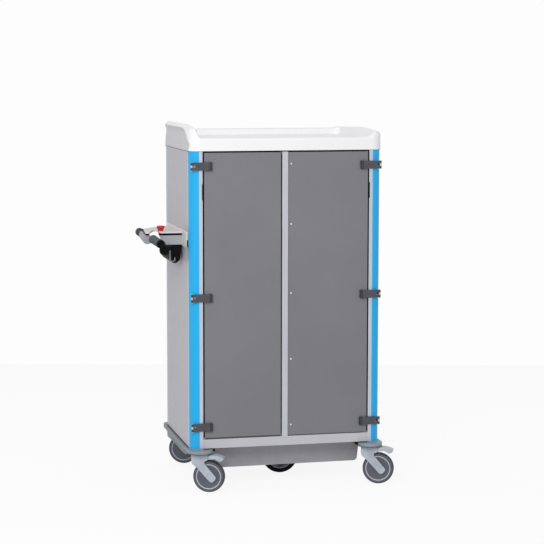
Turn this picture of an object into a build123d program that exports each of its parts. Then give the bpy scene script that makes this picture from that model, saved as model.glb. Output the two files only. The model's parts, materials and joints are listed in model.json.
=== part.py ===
"""Enclosed linen cart: one STEP file for each separate piece.

Millimetres. +X points right, +Y points to the back, +Z points up and the casters stand on Z = 0.
The pieces are drawn from the body's front left corner, and moved at the end so that the
origin lies at the bottom centre of the whole cart.
"""
import os
from math import atan2, cos, degrees, hypot, radians, sqrt, tan

from build123d import *

os.makedirs("parts", exist_ok=True)


# Body

body_width = 770
body_depth = 566
body_bottom = 172
body_top = 1376
panel_thickness = 12
fit_gap = 0.3
sheet = 2.5
middle_x = body_width / 2
middle_y = body_depth / 2

# Corner posts and their snap-in strips

corner_radius = 36
post_size = 50.4
strip_thickness = 2.3
post_wall = 2.6
flange_length = 15.6
flange_thickness = 2.6
screw_port_radius = 2.1

# Doors

door_thickness = 12
door_bottom = 212
door_top = 1336
door_side_gap = 3.6
door_middle_gap = 3.2
door_corner_radius = 8
sill_height = 36
header_bottom = 1340
stop_lip = 16
buffer_low = door_top - 184
buffer_high = door_top - 126

# Hinges

hinge_axis_x = 6
hinge_axis_y = -7
hinge_heights = (257, 768, 1281)
hinge_length = 87
strap_end_height = 30
strap_root_height = 34
strap_front = -9.5
strap_back = -1
knuckle_radius = 4.2
pin_radius = 2.5
running_clearance = 0.06
press_clearance = 0.02
eye_height = 10
notch_depth = 15
strap_screw_positions = (72, 82)

# Closing batten: the edge profile of the right door

batten_left = middle_x - 18.5
batten_width = 23.5
batten_right = batten_left + batten_width
batten_front = -4
batten_bottom = door_bottom - 7.2
batten_top = door_top - 0.5
batten_wall = 1.8
batten_back_leg = 21
rivet_x = batten_right + 13
rivet_radius = 2
rivet_head_radius = 3.2
rivet_heights = (254, 517, 779, 1052, 1288)

# Tray on top

tray_bottom = 1340
tray_side_overhang = 4
tray_front_overhang = 6
tray_back_overhang = 4
tray_wall = 3.2
tray_floor_thickness = 4
tray_plan_radius = 44
tray_left_rim = 1440
tray_right_rim = 1420
tray_front_rim = 1390
tray_back_rim = 1407
tray_rim_width = 36
tray_lip_width = 24

# Shelves

shelf_heights = (548, 938)
shelf_flange = 20
shelf_pin_radius = 4
shelf_pin_reach = 14
shelf_pin_seat = 8

# Chassis

stem_x = 39
stem_y = 8
beam_width = 100
beam_bottom = 153
beam_top = 168
beam_wall = 4
cross_tube_width = 30
pan_front = 112
pan_bottom = 73
pan_end = 54
pan_draft = 7
pan_wall = 3
pan_corner_radius = 14

# Swivel casters

wheel_radius = 62.5
wheel_width = 32
wheel_rim_radius = 50
trail = 35.5
caster_heading = -21.5
fork_width = 45
fork_wall = 5
fork_top = 150
crown_thickness = 9
axle_radius = 5
stem_radius = 9
pedal_pivot_s = 23
pedal_pivot_z = 137.5
pedal_pivot_radius = 3.5

# Drive wheel under the middle

drive_x = middle_x + 40
drive_radius = 75
drive_width = 30
drive_tyre_thickness = 17
drive_hub_radius = 30
drive_axle_radius = 6
drive_slot_gap = 4
drive_swing = 8
drive_pivot_z = drive_radius + 47
spring_seat = drive_radius + 54
spring_seat_thickness = 3
spring_seat_gap = 2.2
spring_radius = 9
spring_wire = 2.8

# Handle unit on the left side

console_top = 1008
console_height = 43
console_wall = 3
console_front = middle_y - 133
console_back = middle_y + 127
console_outer = -90
flange_plate = 4
flange_plate_height = 64
flange_plate_end = 53
cover_seal = 3
cover_thickness = 6
cover_front = console_front - 4
cover_wing = -150
bar_outer = -157
bar_inner = -123
bar_front = middle_y - 118
bar_back = middle_y + 103
bar_height = 37
bar_rounding = 15
stub_radius = 10
stub_start = (-137, middle_y - 98, console_top - 21)
grip_root = (-121, middle_y - 133, console_top - 19)
grip_end = (-99, middle_y - 235, console_top - 35)
grip_radius = 17
lever_x = -74
lever_z = console_top - 51
lever_pin_radius = 3
lever_front = middle_y - 199
lug_front = middle_y - 180
button_x = -82
button_y = middle_y - 88
button_travel = 5
button_stem_radius = 3.4
button_head_radius = 15.5
housing_back = middle_y + 83
housing_height = 73

console_bottom = console_top - console_height
cover_bottom = console_top + cover_seal
cover_top = cover_bottom + cover_thickness
bar_top = console_top - 3


def block(x0, x1, y0, y1, z0, z1):
    """A box between two corners."""
    return Pos((x0 + x1) / 2, (y0 + y1) / 2, (z0 + z1) / 2) * Box(x1 - x0, y1 - y0, z1 - z0)


def upright(x, y, z0, z1, radius):
    """A cylinder along Z."""
    return Pos(x, y, (z0 + z1) / 2) * Cylinder(radius, z1 - z0)


def crosswise(x, z, y0, y1, radius):
    """A cylinder along Y."""
    return Pos(x, (y0 + y1) / 2, z) * Rot(90, 0, 0) * Cylinder(radius, y1 - y0)


def lengthwise(y, z, x0, x1, radius):
    """A cylinder along X."""
    return Pos((x0 + x1) / 2, y, z) * Rot(0, 90, 0) * Cylinder(radius, x1 - x0)


def side_profile(points, y0, y1):
    """A polygon of (x, z) points, extruded from y0 to y1."""
    outline = Polyline(*[(x, z) for x, z in points], close=True)
    face = make_face(outline)
    return Pos(0, y1, 0) * Rot(90, 0, 0) * extrude(face, y1 - y0)


def mirror_x(shape):
    """The same piece on the other side of the cart."""
    return mirror(shape, Plane((middle_x, 0, 0), z_dir=(1, 0, 0)))


def mirror_y(shape):
    """The same piece at the other end of the cart."""
    return mirror(shape, Plane((0, middle_y, 0), z_dir=(0, 1, 0)))


def group(pieces):
    """Several separate solids that share one file."""
    solids = []
    for piece in pieces:
        solids.extend(piece.solids())
    return Compound(children=solids)


nodes = {}


# Corner posts: one hollow extrusion, used at all four corners

def post_outline():
    square = Pos(post_size / 2, post_size / 2) * Rectangle(post_size, post_size)
    half = corner_radius / 2
    outside_arc = Pos(half, half) * Rectangle(corner_radius, corner_radius)
    outside_arc -= Pos(corner_radius, corner_radius) * Circle(corner_radius - strip_thickness - press_clearance)
    return square - outside_arc


def post_hollow():
    outer_side = strip_thickness + post_wall
    inner_side = post_size - post_wall
    centre = (outer_side + inner_side) / 2
    hollow = Pos(centre, centre) * Rectangle(inner_side - outer_side, inner_side - outer_side)
    half = corner_radius / 2
    outside_arc = Pos(half, half) * Rectangle(corner_radius, corner_radius)
    outside_arc -= Pos(corner_radius, corner_radius) * Circle(corner_radius - outer_side)
    return hollow - outside_arc


def corner_post():
    section = post_outline() - post_hollow()
    port_place = post_size - post_wall - 2 * screw_port_radius
    for place in ((port_place, port_place), (port_place, 4 * screw_port_radius + 2)):
        section += Pos(*place) * Circle(2 * screw_port_radius + 1)
        section -= Pos(*place) * Circle(screw_port_radius)
    flange_place = panel_thickness + fit_gap + flange_thickness / 2
    flange_middle = post_size + flange_length / 2
    section += Pos(flange_place, flange_middle) * Rectangle(flange_thickness, flange_length + 2)
    section += Pos(flange_middle, flange_place) * Rectangle(flange_length + 2, flange_thickness)
    return Pos(0, 0, body_bottom) * extrude(section, body_top - body_bottom)


def corner_strip():
    band = Pos(corner_radius, corner_radius) * Circle(corner_radius)
    band -= Pos(corner_radius, corner_radius) * Circle(corner_radius - strip_thickness)
    half = corner_radius / 2
    band = band & (Pos(half - 0.05, half - 0.05) * Rectangle(corner_radius - 0.1, corner_radius - 0.1))
    return Pos(0, 0, body_bottom) * extrude(band, tray_bottom - fit_gap - body_bottom)


front_left_post = corner_post()
nodes["corner_post_front_left"] = front_left_post
nodes["corner_post_front_right"] = mirror_x(front_left_post)
nodes["corner_post_rear_left"] = mirror_y(front_left_post)
nodes["corner_post_rear_right"] = mirror_x(mirror_y(front_left_post))

strip = corner_strip()
nodes["corner_strips"] = group([strip, mirror_x(strip), mirror_y(strip), mirror_x(mirror_y(strip))])


# Side and back panels

panel_end = post_size + 0.2
flange_reach = post_size + flange_length + 1 + fit_gap
side_panel = block(0, panel_thickness, panel_end, body_depth - panel_end, body_bottom, body_top)
shelf_pin_ys = (120, body_depth - 120)
shelf_pin_places = []
for shelf_height in shelf_heights:
    for pin_y in shelf_pin_ys:
        shelf_pin_places.append((pin_y, shelf_height - shelf_flange - shelf_pin_radius - 0.05))
pins = []
for pin_y, pin_z in shelf_pin_places:
    seat_start = panel_thickness - shelf_pin_seat
    side_panel -= lengthwise(pin_y, pin_z, seat_start, panel_thickness + 1, shelf_pin_radius + press_clearance)
    pins.append(lengthwise(pin_y, pin_z, seat_start, panel_thickness + shelf_pin_reach, shelf_pin_radius))
    pins.append(mirror_x(pins[-1]))
nodes["side_panel_left"] = side_panel
nodes["side_panel_right"] = mirror_x(side_panel)
nodes["shelf_pins"] = group(pins)
nodes["back_panel"] = block(
    panel_end, body_width - panel_end, body_depth - panel_thickness, body_depth, body_bottom, body_top
)


def inside_sheet(front, back, z0, z1):
    """A sheet that fills the inside of the body, notched round the four posts."""
    left = panel_thickness + fit_gap + flange_thickness + fit_gap
    piece = block(left, body_width - left, front, back, z0, z1)
    notch = block(-1, post_size + fit_gap, -1, post_size + fit_gap, z0 - 1, z1 + 1)
    for cutter in (notch, mirror_x(notch), mirror_y(notch), mirror_x(mirror_y(notch))):
        piece -= cutter
    return piece


inside_back = body_depth - panel_thickness - fit_gap - flange_thickness - fit_gap
stop_back = panel_thickness + fit_gap + flange_thickness
rail_left = post_size + fit_gap


# Floor with its sill, and roof with its header: folded sheets that also stop the doors

def door_rail(z0, z1, lip_low, lip_high):
    rail = block(rail_left, body_width - rail_left, 0, panel_thickness, z0, z1)
    rail += block(flange_reach, body_width - flange_reach, panel_thickness - sheet, stop_back, z0, z1)
    lip_front = panel_thickness + fit_gap
    return rail + block(flange_reach, body_width - flange_reach, lip_front, stop_back, lip_low, lip_high)


def clear_of_post_flanges(shape):
    """Cuts a sheet back where the front posts' flanges stand."""
    cutter = block(-1, flange_reach, -1, stop_back + fit_gap, body_bottom - 1, body_top + 1)
    return shape - cutter - mirror_x(cutter)


rail_hollow = (rail_left + sheet, body_width - rail_left - sheet, sheet, panel_thickness - sheet)

sill_top = body_bottom + sill_height
floor_tray = door_rail(body_bottom, sill_top, body_bottom, sill_top + stop_lip)
floor_tray -= block(*rail_hollow, body_bottom - 1, sill_top - sheet)
floor_sheet = inside_sheet(panel_thickness - sheet, inside_back, body_bottom, body_bottom + sheet)
floor_tray += clear_of_post_flanges(floor_sheet)
nodes["floor_tray"] = floor_tray

roof_panel = door_rail(header_bottom, body_top, header_bottom - stop_lip, body_top)
roof_panel -= block(*rail_hollow, header_bottom + sheet, body_top + 1)
roof_sheet = inside_sheet(panel_thickness - sheet, inside_back, body_top - sheet, body_top)
roof_panel += clear_of_post_flanges(roof_sheet)
nodes["roof_panel"] = roof_panel


# Shelves: folded sheets with a flange all round, resting on the pins

shelves = []
for shelf_height in shelf_heights:
    shelf = inside_sheet(20, inside_back - 2, shelf_height - shelf_flange, shelf_height)
    hollow_left = panel_thickness + 2 * fit_gap + flange_thickness + sheet
    hollow = block(
        hollow_left,
        body_width - hollow_left,
        20 + sheet,
        inside_back - 2 - sheet,
        shelf_height - shelf_flange - 1,
        shelf_height - sheet,
    )
    notch_end = post_size + fit_gap + sheet
    notch = block(-1, notch_end, -1, notch_end, 0, body_top)
    for cutter in (notch, mirror_x(notch), mirror_y(notch), mirror_x(mirror_y(notch))):
        hollow -= cutter
    shelves.append(shelf - hollow)
nodes["shelves"] = group(shelves)


# Tray on top: a moulded shell with a high left rim

tray_left = -tray_side_overhang
tray_right = body_width + tray_side_overhang
tray_front = -tray_front_overhang
tray_back = body_depth + tray_back_overhang


def tray_outer(inset, bottom):
    """The outer form, made smaller by inset all round and on top."""
    width = tray_right - tray_left - 2 * inset
    depth = tray_back - tray_front - 2 * inset
    plan = RectangleRounded(width, depth, tray_plan_radius - inset)
    centre = Pos((tray_left + tray_right) / 2, (tray_front + tray_back) / 2, bottom)
    form = centre * extrude(plan, tray_left_rim - inset - bottom)
    left = tray_left + inset
    right = tray_right - inset
    rounding = 30 - inset
    left_level = tray_left_rim - inset
    right_level = tray_right_rim - inset
    under = bottom - 1
    across = Polyline((left, under), (left, left_level - rounding))
    centre_point = (left + rounding, left_level - rounding)
    across += EllipticalCenterArc(centre_point, rounding, rounding, start_angle=90, arc_size=90)
    across += Polyline(
        (left + rounding, left_level),
        (middle_x, left_level),
        (middle_x, right_level),
        (right - 12, right_level),
        (right, right_level - 12),
        (right, under),
        (left, under),
    )
    crossways = extrude(make_face(across), tray_back - tray_front + 2)
    form = form & (Pos(0, tray_back + 1, 0) * Rot(90, 0, 0) * crossways)
    front = tray_front + inset
    back = tray_back - inset
    drop = 56
    reach = 130 - inset
    along = Polyline((front, under), (front, left_level - drop))
    along += EllipticalCenterArc((front + reach, left_level - drop), reach, drop, start_angle=90, arc_size=90)
    along += Polyline(
        (front + reach, left_level),
        (back - 8, left_level),
        (back, left_level - 8),
        (back, under),
        (front, under),
    )
    lengthways = extrude(make_face(along), tray_right - tray_left + 2)
    return form & (Pos(tray_left - 1, 0, 0) * (Plane.YZ * lengthways))


def tray_hollow(growth):
    """The space inside the rims, made larger by growth all round and at the bottom."""
    floor_level = body_top + tray_floor_thickness - growth
    left = tray_left + tray_rim_width - growth
    right = tray_right - tray_rim_width + 6 + growth
    front = tray_front + tray_lip_width - growth
    back = tray_back - tray_lip_width + growth
    top = tray_left_rim + 10
    slope = 8
    plan = RectangleRounded(right - left, back - front, 26 + growth)
    hollow = Pos((left + right) / 2, (front + back) / 2, floor_level) * extrude(plan, top - floor_level)
    # The front and back rims are lower than the sides, with sloping ends
    for y0, y1, level in (
        (tray_front - 10, front + 40, tray_front_rim - growth),
        (back - 40, tray_back + 10, tray_back_rim - growth),
    ):
        hollow += side_profile(
            (
                (left + slope, level),
                (right - slope, level),
                (right, level + 2 * slope),
                (right, top),
                (left, top),
                (left, level + 3 * slope),
            ),
            y0,
            y1,
        )
    return hollow


tray_shell = tray_outer(0, tray_bottom) - tray_hollow(0)
tray_underside = tray_outer(tray_wall, tray_bottom - 5) - tray_hollow(tray_floor_thickness)
nodes["top_tray"] = tray_shell - tray_underside


# Chassis: two round-ended beams, two cross tubes and feet for the posts

beam_radius = beam_width / 2
rear_stem_y = body_depth - stem_y


def beam_plan(inset):
    run = rear_stem_y - stem_y
    return Pos(stem_x, middle_y) * Rot(0, 0, 90) * SlotCenterToCenter(run, beam_width - 2 * inset)


beam = Pos(0, 0, beam_bottom) * extrude(beam_plan(0), beam_top - beam_bottom)
beam -= Pos(0, 0, beam_bottom - 1) * extrude(beam_plan(beam_wall), beam_top - beam_bottom - beam_wall + 1)
for stem_place in (stem_y, rear_stem_y):
    beam += upright(stem_x, stem_place, beam_bottom, beam_top - 1, 20)
    beam -= upright(stem_x, stem_place, beam_bottom - 1, beam_top - 2, 6 + press_clearance)
beam += block(0, panel_thickness, 30, body_depth - 30, beam_top - 1, body_bottom)
foot = block(0, post_size, 0, post_size, beam_top - 1, body_bottom)
foot = foot & upright(corner_radius, corner_radius, beam_top - 1, body_bottom, corner_radius) + block(
    corner_radius, post_size, 0, post_size, beam_top - 1, body_bottom
) + block(0, post_size, corner_radius, post_size, beam_top - 1, body_bottom)
beam += foot
beam += mirror_y(foot)
chassis = beam + mirror_x(beam)
beam_inner = stem_x + beam_radius
for tube_start in (pan_front + 1, body_depth - pan_front - 1 - cross_tube_width):
    tube_end = tube_start + cross_tube_width
    tube = block(beam_inner - 2, body_width - beam_inner + 2, tube_start, tube_end, beam_bottom, body_bottom)
    tube -= block(
        beam_inner, body_width - beam_inner, tube_start + sheet, tube_end - sheet, beam_bottom + sheet, body_bottom - sheet
    )
    chassis += tube
nodes["chassis"] = chassis


# Pan under the floor, round the drive unit

pan_slope = (beam_bottom - pan_bottom) * tan(radians(pan_draft))


def pan_form(inset, z_top, y0, y1):
    shift = inset / cos(radians(pan_draft))
    low = pan_bottom + inset
    low_x = pan_end + pan_slope + shift - inset * tan(radians(pan_draft))
    top_x = pan_end + shift - (z_top - beam_bottom) * tan(radians(pan_draft))
    outline = Polyline(
        (top_x, z_top), (low_x, low), (body_width - low_x, low), (body_width - top_x, z_top), close=True
    )
    face = make_face(outline)
    corners = face.vertices().sort_by(Axis.Y)[:2]
    face = fillet(corners, pan_corner_radius - inset)
    return Pos(0, y1, 0) * Rot(90, 0, 0) * extrude(face, y1 - y0)


pan_back = body_depth - pan_front
pan = pan_form(0, beam_bottom, pan_front, pan_back)
pan -= pan_form(pan_wall, beam_bottom + 5, pan_front + pan_wall, pan_back - pan_wall)
# The slot leaves room for the wheel as its arm lifts, which carries it up and to the right
slot_half = drive_radius + drive_slot_gap
slot_end = drive_x + slot_half + (drive_pivot_z - drive_radius) * tan(radians(drive_swing)) + 2
slot_width = drive_width + 34
pan -= block(
    drive_x - slot_half,
    slot_end,
    middle_y - slot_width / 2,
    middle_y + slot_width / 2,
    pan_bottom - 1,
    pan_bottom + pan_wall + 1,
)
nodes["underfloor_pan"] = pan


# Doors

left_door_left = post_size + door_side_gap
left_door_right = batten_left - door_middle_gap
right_door_left = batten_left + batten_wall + fit_gap
right_door_width = body_width - left_door_left - right_door_left


def door_leaf(width):
    """A leaf as it hangs on the left side, with its screw holes."""
    height = door_top - door_bottom
    face = RectangleRounded(width, height, door_corner_radius)
    centre = Pos(left_door_left + width / 2, door_thickness, (door_top + door_bottom) / 2)
    leaf = centre * Rot(90, 0, 0) * extrude(face, door_thickness)
    for hinge_z in hinge_heights:
        for screw_x in strap_screw_positions:
            leaf -= crosswise(screw_x, hinge_z, -1, door_thickness + 1, pin_radius + 0.1)
    return leaf


nodes["left_door"] = door_leaf(left_door_right - left_door_left)
right_door = mirror_x(door_leaf(right_door_width))
for rivet_z in rivet_heights:
    right_door -= crosswise(rivet_x, rivet_z, -1, door_thickness + 1, rivet_radius + press_clearance)
nodes["right_door"] = right_door


# Hinge straps, their brackets, pins and screws

def hinge_strap(height):
    end = strap_end_height / 2
    root = strap_root_height / 2
    waist = (end + root) / 2
    outline = (
        (hinge_axis_x, -end),
        (20, -end),
        (74, -waist),
        (76, -root),
        (hinge_length - 2, -root),
        (hinge_length, 2 - root),
        (hinge_length, root - 2),
        (hinge_length - 2, root),
        (76, root),
        (74, waist),
        (20, end),
        (hinge_axis_x, end),
    )
    plate = side_profile([(x, height + z) for x, z in outline], strap_front, strap_back)
    plate += upright(hinge_axis_x, hinge_axis_y, height - end, height + end, knuckle_radius)
    plate += block(75, hinge_length - 1, strap_front - 1, strap_front + 1, height - root + 1, height + root - 1)
    plate += block(left_door_left + 3, hinge_length - 2, strap_back - 0.5, 0, height - waist + 1, height + waist - 1)
    reach = hinge_axis_x + notch_depth
    plate -= block(-5, reach, -20, 5, height - eye_height / 2 - 0.4, height + eye_height / 2 + 0.4)
    plate -= upright(hinge_axis_x, hinge_axis_y, height - end - 1, height + end + 1, pin_radius + running_clearance)
    for screw_x in strap_screw_positions:
        plate -= crosswise(screw_x, height, -6.5, 1, pin_radius + press_clearance)
    return plate


def strap_screw(x, height):
    screw = crosswise(x, height, -6, door_thickness + 1, pin_radius)
    return screw + crosswise(x, height, door_thickness, door_thickness + 2.3, 4.5)


def hinge_bracket(height):
    """An eye on a web that stands on a curved foot, which lies on the corner strip."""
    eye = upright(hinge_axis_x, hinge_axis_y, height - eye_height / 2, height + eye_height / 2, knuckle_radius)
    to_centre_x = corner_radius - hinge_axis_x
    to_centre_y = corner_radius - hinge_axis_y
    distance = hypot(to_centre_x, to_centre_y)
    angle = degrees(atan2(to_centre_y, to_centre_x))
    web_length = distance - corner_radius - 0.5
    web = Pos(web_length / 2, 0, 0) * Box(web_length, 4, eye_height)
    eye += Pos(hinge_axis_x, hinge_axis_y, height) * Rot(0, 0, angle) * web
    foot_ring = Circle(corner_radius + 2) - Circle(corner_radius + press_clearance)
    wedge = make_face(Polyline((0, 0), (60, -60 * tan(radians(17))), (60, 60 * tan(radians(17))), close=True))
    foot_ring = foot_ring & (Rot(0, 0, 180 + angle) * wedge)
    eye += Pos(corner_radius, corner_radius, height - 13) * extrude(foot_ring, 26)
    return eye - upright(
        hinge_axis_x, hinge_axis_y, height - eye_height, height + eye_height, pin_radius + press_clearance
    )


def hinge_pin(height):
    half = strap_end_height / 2
    pin = upright(hinge_axis_x, hinge_axis_y, height - half - 1, height + half + 1, pin_radius)
    pin += upright(hinge_axis_x, hinge_axis_y, height + half + 0.3, height + half + 1.8, 3.6)
    return pin + upright(hinge_axis_x, hinge_axis_y, height - half - 1.8, height - half - 0.3, 3.6)


straps = [hinge_strap(height) for height in hinge_heights]
screws = [strap_screw(x, height) for height in hinge_heights for x in strap_screw_positions]
brackets = [hinge_bracket(height) for height in hinge_heights]
hinge_pins = [hinge_pin(height) for height in hinge_heights]
nodes["left_hinge_straps"] = group(straps)
nodes["right_hinge_straps"] = group([mirror_x(piece) for piece in straps])
nodes["left_door_screws"] = group(screws)
nodes["hinge_brackets"] = group(brackets + [mirror_x(piece) for piece in brackets])
nodes["hinge_pins"] = group(hinge_pins + [mirror_x(piece) for piece in hinge_pins])


# Closing batten: an extrusion round the right door's free edge, riveted through its long back leg

batten_groove = 0.8
batten_groove_start = batten_left + 8
batten_groove_end = batten_left + 15.8
batten_back = door_thickness + batten_wall
batten_profile = [
    (batten_left, batten_front + 1),
    (batten_left + 1, batten_front),
    (batten_groove_start, batten_front),
    (batten_groove_start + batten_groove, batten_front + batten_groove),
    (batten_groove_end - batten_groove, batten_front + batten_groove),
    (batten_groove_end, batten_front),
    (batten_right - 1, batten_front),
    (batten_right, batten_front + 1),
    (batten_right, 0),
    (batten_left + batten_wall, 0),
    (batten_left + batten_wall, door_thickness),
    (batten_right + batten_back_leg, door_thickness),
    (batten_right + batten_back_leg, batten_back),
    (batten_left, batten_back),
]
batten_face = make_face(Polyline(*batten_profile, close=True))
batten = Pos(0, 0, batten_bottom) * extrude(batten_face, batten_top - batten_bottom)
# Below the door only its front wall goes on, and behind the door it ends at the stop lips
batten_end = batten_right + batten_back_leg + 1
leg_end_gap = stop_lip - 2
batten -= block(batten_left - 1, batten_end, -fit_gap, batten_back + 1, batten_bottom - 1, door_bottom)
batten -= block(
    batten_left - 1, batten_end, door_thickness - 0.1, batten_back + 1, batten_bottom - 1, door_bottom + leg_end_gap
)
batten -= block(batten_left - 1, batten_end, door_thickness - 0.1, batten_back + 1, door_top - leg_end_gap, body_top)
batten -= block(batten_left - 1, batten_left + 9, batten_front - 1, -fit_gap, batten_top - 4.5, body_top)
rivets = []
for rivet_z in rivet_heights:
    batten -= crosswise(rivet_x, rivet_z, door_thickness - 1, batten_back + 1, rivet_radius + press_clearance)
    rivet = crosswise(rivet_x, rivet_z, -0.5, batten_back + 0.5, rivet_radius)
    rivet += crosswise(rivet_x, rivet_z, -1.4, 0, rivet_head_radius)
    rivet += crosswise(rivet_x, rivet_z, batten_back, batten_back + 1.2, rivet_head_radius)
    rivets.append(rivet)
nodes["closing_batten"] = batten
nodes["right_door_fasteners"] = group([mirror_x(piece) for piece in screws] + rivets)


# Rubber buffers in the gap beside each door

buffer_end = left_door_left - 0.4
buffer = block(post_size + press_clearance, buffer_end, -1.5, door_thickness - 1, buffer_low, buffer_high)
buffer += block(post_size - 2.1, buffer_end, -1.5, -press_clearance, buffer_low, buffer_high)
nodes["door_buffers"] = group([buffer, mirror_x(buffer)])


# Swivel casters, drawn with the trail along +X from the swivel axis

fork_half = fork_width / 2
well_half = fork_half - fork_wall
wheel_half = wheel_width / 2


def fork():
    outline = (
        (-33, fork_top),
        (-33, 131),
        (-30.5, 115),
        (-10, 99),
        (40, 45),
        (48, 41),
        (56, 44.5),
        (63, 53),
        (65.5, 60),
        (63, 66),
        (20, 115),
        (20, 125),
        (30, 128),
        (33, 134),
        (33, fork_top),
    )
    body = side_profile(outline, -fork_half, fork_half)
    back_edges = body.edges().filter_by(Axis.Z).group_by(Axis.X)[0]
    body = fillet(back_edges, 7)
    crown_bottom = fork_top - crown_thickness
    body -= block(-29, 80, -well_half, well_half, 0, crown_bottom)
    body -= upright(0, 0, 100, fork_top + 1, stem_radius + running_clearance)
    # Bosses inside the arms carry the axle, which doesn't show outside
    for side in (-1, 1):
        near, far = sorted((side * (wheel_half - 0.5), side * (well_half + 1)))
        body += crosswise(trail, wheel_radius, near, far, 10)
    body -= crosswise(trail, wheel_radius, -fork_half + 2.5, fork_half - 2.5, axle_radius + press_clearance)
    body -= crosswise(
        pedal_pivot_s, pedal_pivot_z, -fork_half - 1, fork_half + 1, pedal_pivot_radius + running_clearance
    )
    # The crown stays clear of the pedal's ears
    body -= block(12, 34, -well_half, well_half, 100, fork_top - 2.5)
    return body


def pedal():
    """A hood over the front of the wheel, hung between the fork's cheeks."""
    top_line = ((36, 149.4), (47, 149.8), (67, 148.5), (86, 143.5), (96, 138.5))
    low_line = ((95, 133), (88, 128), (80, 133), (66, 139), (50, 141.5), (36, 141))
    hood = side_profile(top_line + low_line, -19, 19)
    cheek = ((36, 149), (36, 132), (60, 135.5), (80, 124.5), (88, 127), (94, 133), (84, 143), (60, 148))
    for side in (-1, 1):
        near, far = sorted((side * 17, side * 20.5))
        hood += side_profile(cheek, near, far)
    ear = ((14.5, 137.5), (18, 131), (26, 130.2), (36.5, 132), (36.5, 146.5), (20, 146.5), (16, 143))
    for side in (-1, 1):
        near, far = sorted((side * 12.5, side * (well_half - 0.3)))
        hood += side_profile(ear, near, far)
        near, far = sorted((side * 14, side * (fork_half - 0.5)))
        hood += crosswise(pedal_pivot_s, pedal_pivot_z, near, far, pedal_pivot_radius)
    hood += block(36.2, 39, -17.2, 17.2, 133, 145)
    return hood


def revolved(points, x, z):
    """Points of (radius, y), turned about an axle along Y at x, z."""
    face = make_face(Polyline(*points, close=True))
    ring = revolve(face, Axis.Y)
    return Pos(x, 0, z) * ring


def wheel_core():
    rim = wheel_rim_radius - press_clearance
    points = (
        (axle_radius + running_clearance, -wheel_half + 0.8),
        (13, -wheel_half + 0.8),
        (13, -wheel_half + 2.5),
        (46.5, -wheel_half + 2.5),
        (47.5, -wheel_half + 1),
        (rim, -wheel_half + 1),
        (rim, wheel_half - 1),
        (47.5, wheel_half - 1),
        (46.5, wheel_half - 2.5),
        (13, wheel_half - 2.5),
        (13, wheel_half - 0.8),
        (axle_radius + running_clearance, wheel_half - 0.8),
    )
    return revolved(points, trail, wheel_radius)


def tyre():
    points = (
        (wheel_rim_radius, -wheel_half + 1.5),
        (55, -wheel_half),
        (59, -wheel_half + 2),
        (wheel_radius, -wheel_half + 7),
        (wheel_radius, wheel_half - 7),
        (59, wheel_half - 2),
        (55, wheel_half),
        (wheel_rim_radius, wheel_half - 1.5),
    )
    return revolved(points, trail, wheel_radius)


caster_pieces = {
    "fork": fork(),
    "brake_pedal": pedal(),
    "axle": crosswise(trail, wheel_radius, -fork_half + 2.7, fork_half - 2.7, axle_radius),
    "wheel": wheel_core(),
    "tyre": tyre(),
}
caster_places = {
    "front_left": (stem_x, stem_y),
    "front_right": (body_width - stem_x, stem_y),
    "rear_left": (stem_x, rear_stem_y),
    "rear_right": (body_width - stem_x, rear_stem_y),
}
for corner, (place_x, place_y) in caster_places.items():
    for piece_name, piece in caster_pieces.items():
        nodes[f"{piece_name}_{corner}"] = Pos(place_x, place_y, 0) * Rot(0, 0, caster_heading) * piece

stems = []
for place_x, place_y in caster_places.values():
    stem = upright(place_x, place_y, beam_bottom - 1, beam_top - 2.5, 6)
    stem += upright(place_x, place_y, fork_top + fit_gap, beam_bottom, 21)
    stem += upright(place_x, place_y, fork_top - crown_thickness - 1, fork_top + 1, stem_radius)
    stem += upright(place_x, place_y, fork_top - crown_thickness - 4, fork_top - crown_thickness - fit_gap, 11.5)
    stems.append(stem)
nodes["caster_stems"] = group(stems)


# Drive unit: a sprung arm with a driven wheel, hung under the floor

# The spring's seat stands as near to the wheel as its gap allows, and the arm's pivot behind it
seat_bottom = spring_seat - spring_seat_thickness
seat_end = drive_x - sqrt((drive_radius + spring_seat_gap) ** 2 - (seat_bottom - drive_radius) ** 2)
spring_x = seat_end - spring_radius - 2
seat_start = spring_x - spring_radius - 3
drive_pivot_x = spring_x - 21

cheek_inner = drive_width / 2 + 8
arm_inner = drive_width / 2 + 2.5
arm_outer = cheek_inner - fit_gap
bracket_plate = 4
bracket_start = drive_pivot_x - 35
bracket_end = drive_pivot_x + 50
cheek_outer = cheek_inner + bracket_plate
bracket_bottom = body_bottom - bracket_plate
bracket = block(bracket_start, bracket_end, middle_y - cheek_outer, middle_y + cheek_outer, bracket_bottom, body_bottom)
for side in (-1, 1):
    near, far = sorted((middle_y + side * cheek_inner, middle_y + side * cheek_outer))
    cheek_outline = (
        (bracket_start, bracket_bottom + 2),
        (drive_pivot_x - 15, drive_pivot_z - 14),
        (drive_pivot_x + 15, drive_pivot_z - 14),
        (bracket_end, bracket_bottom + 2),
    )
    bracket += side_profile(cheek_outline, near, far)
bracket += crosswise(
    drive_pivot_x, drive_pivot_z, middle_y - cheek_inner - 1, middle_y + cheek_inner + 1, drive_axle_radius
)
nodes["drive_bracket"] = bracket

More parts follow.
